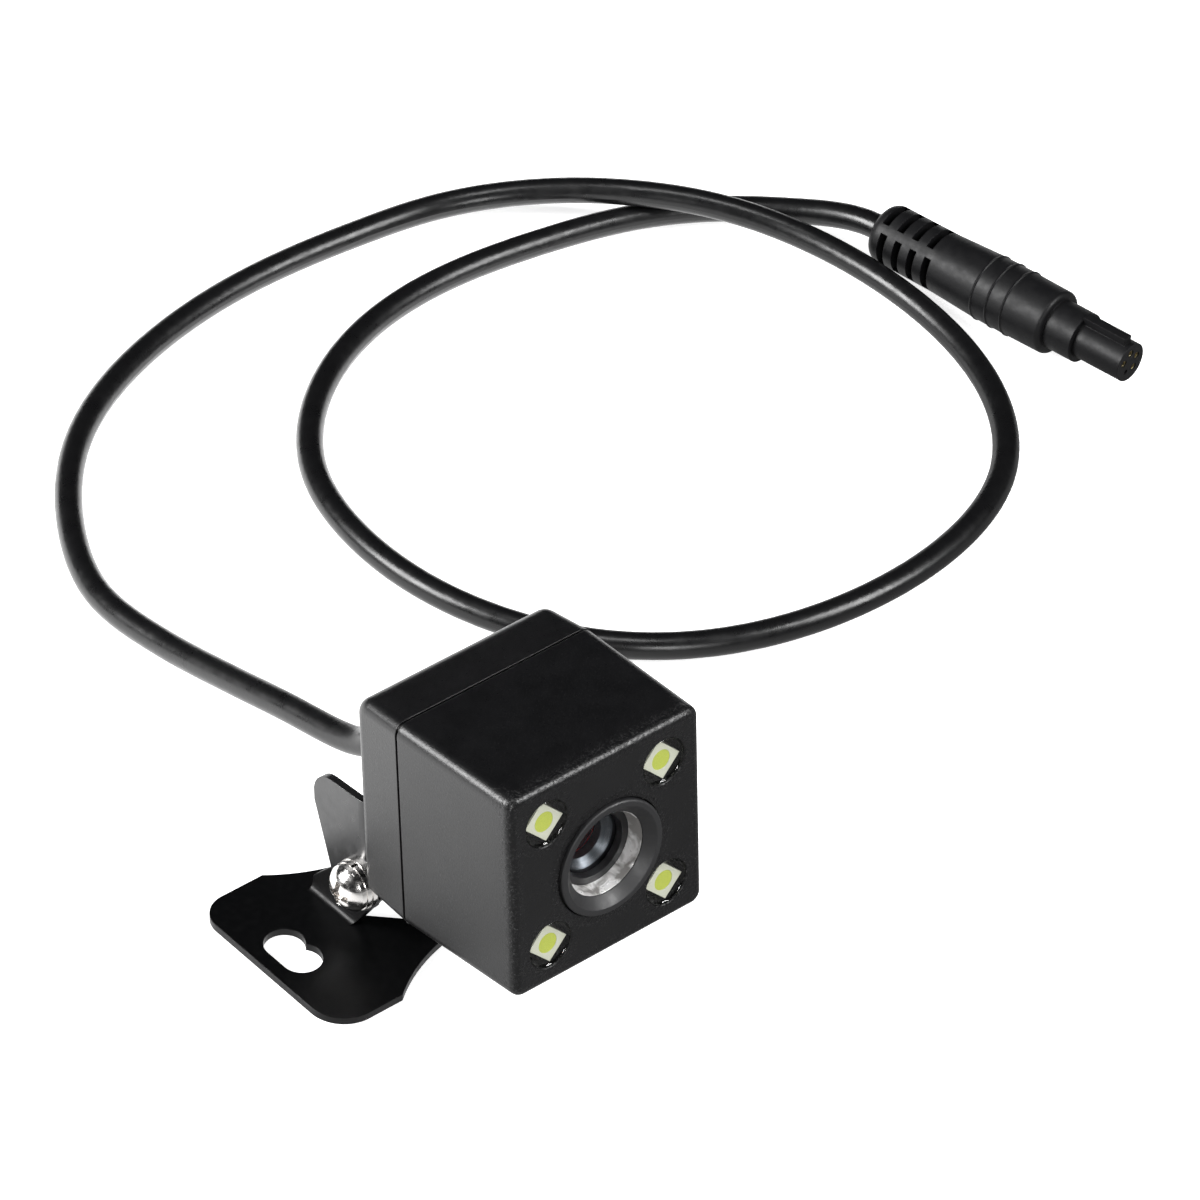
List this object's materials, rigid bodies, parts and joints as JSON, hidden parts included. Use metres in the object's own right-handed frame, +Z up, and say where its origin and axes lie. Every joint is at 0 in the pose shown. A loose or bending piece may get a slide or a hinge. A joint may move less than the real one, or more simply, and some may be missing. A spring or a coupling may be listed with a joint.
{
  "type": "backup camera",
  "caption": "Cube-shaped camera head with corner lamps on a folded tilting steel foot, trailing a coiled cable that ends in a round keyed plug.",
  "frame": {"origin": "centre of the foot plate's outline, on its underside", "axes": "+X right seen from in front of the lens, +Y towards the back of the camera, +Z up from the surface the foot is screwed to; the lens looks along -Y, five degrees nose up"},
  "size_m": [0.1322, 0.1155, 0.0343],
  "materials": {
    "housing": "fine spark-eroded texture",
    "seal": "matt",
    "steel": "plated",
    "board": "solder mask",
    "led_case": "moulded",
    "phosphor": "cured silicone",
    "clear_potting": "clear",
    "lens_metal": "satin anodised",
    "spacer_metal": "turned",
    "bare_aluminium": "turned",
    "lens_glass": "coated",
    "filter_glass": "coated",
    "holder_plastic": "moulded",
    "sensor": "package",
    "chip": "moulded",
    "header": "moulded",
    "wire": "insulated",
    "grommet": "smooth",
    "cable": "semi-gloss jacket",
    "satin_black": "satin",
    "gloss_black": "gloss enamel",
    "nickel": "bright nickel",
    "plug_plastic": "moulded",
    "contact": "plated"
  },
  "bodies": {
    "foot": {"foot_bracket": "gloss_black", "cable_bend": "cable", "cable_loop": "cable", "plug_boot": "plug_plastic", "plug_insert": "plug_plastic", "plug_contacts": "contact"},
    "head": {"front_housing": "housing", "housing_seal": "seal", "rear_cover": "housing", "cover_screws": "steel", "board_screws": "steel", "led_board_screws": "steel", "holder_screws": "steel", "bracket_screws": "steel", "led_board": "board", "led_packages": "led_case", "led_phosphors": "phosphor", "led_windows": "clear_potting", "lens_barrel": "lens_metal", "lens_retaining_ring": "bare_aluminium", "lens_stop": "lens_metal", "front_lens": "lens_glass", "lens_spacer": "spacer_metal", "middle_lens": "lens_glass", "rear_lens": "lens_glass", "lens_holder": "holder_plastic", "infrared_filter": "filter_glass", "sensor_board": "board", "image_sensor": "sensor", "board_chips": "chip", "wire_header": "header", "led_wires": "wire", "cable_grommet": "grommet", "cable_clamp": "steel", "cable_tail": "cable", "cable_cores": "wire", "head_bracket": "satin_black"},
    "left_screw": {"left_hinge_screw": "nickel", "left_spring_washer": "nickel", "left_flat_washer": "nickel"},
    "right_screw": {"right_hinge_screw": "nickel", "right_spring_washer": "nickel", "right_flat_washer": "nickel"}
  },
  "joints": [
    {"name": "head_tilt", "type": "hinge", "parent": "foot", "child": "head", "pos_m": [0, -0.0019, 0.00795], "axis": [-1, 0, 0], "range_deg": [-20, 45], "deforming": ["cable_bend"]},
    {"name": "left_screw_turn", "type": "hinge", "parent": "foot", "child": "left_screw", "pos_m": [-0.0103, -0.0019, 0.00795], "axis": [-1, 0, 0], "range_deg": [0, 180]},
    {"name": "right_screw_turn", "type": "hinge", "parent": "foot", "child": "right_screw", "pos_m": [0.0103, -0.0019, 0.00795], "axis": [1, 0, 0], "range_deg": [0, 180]}
  ]
}
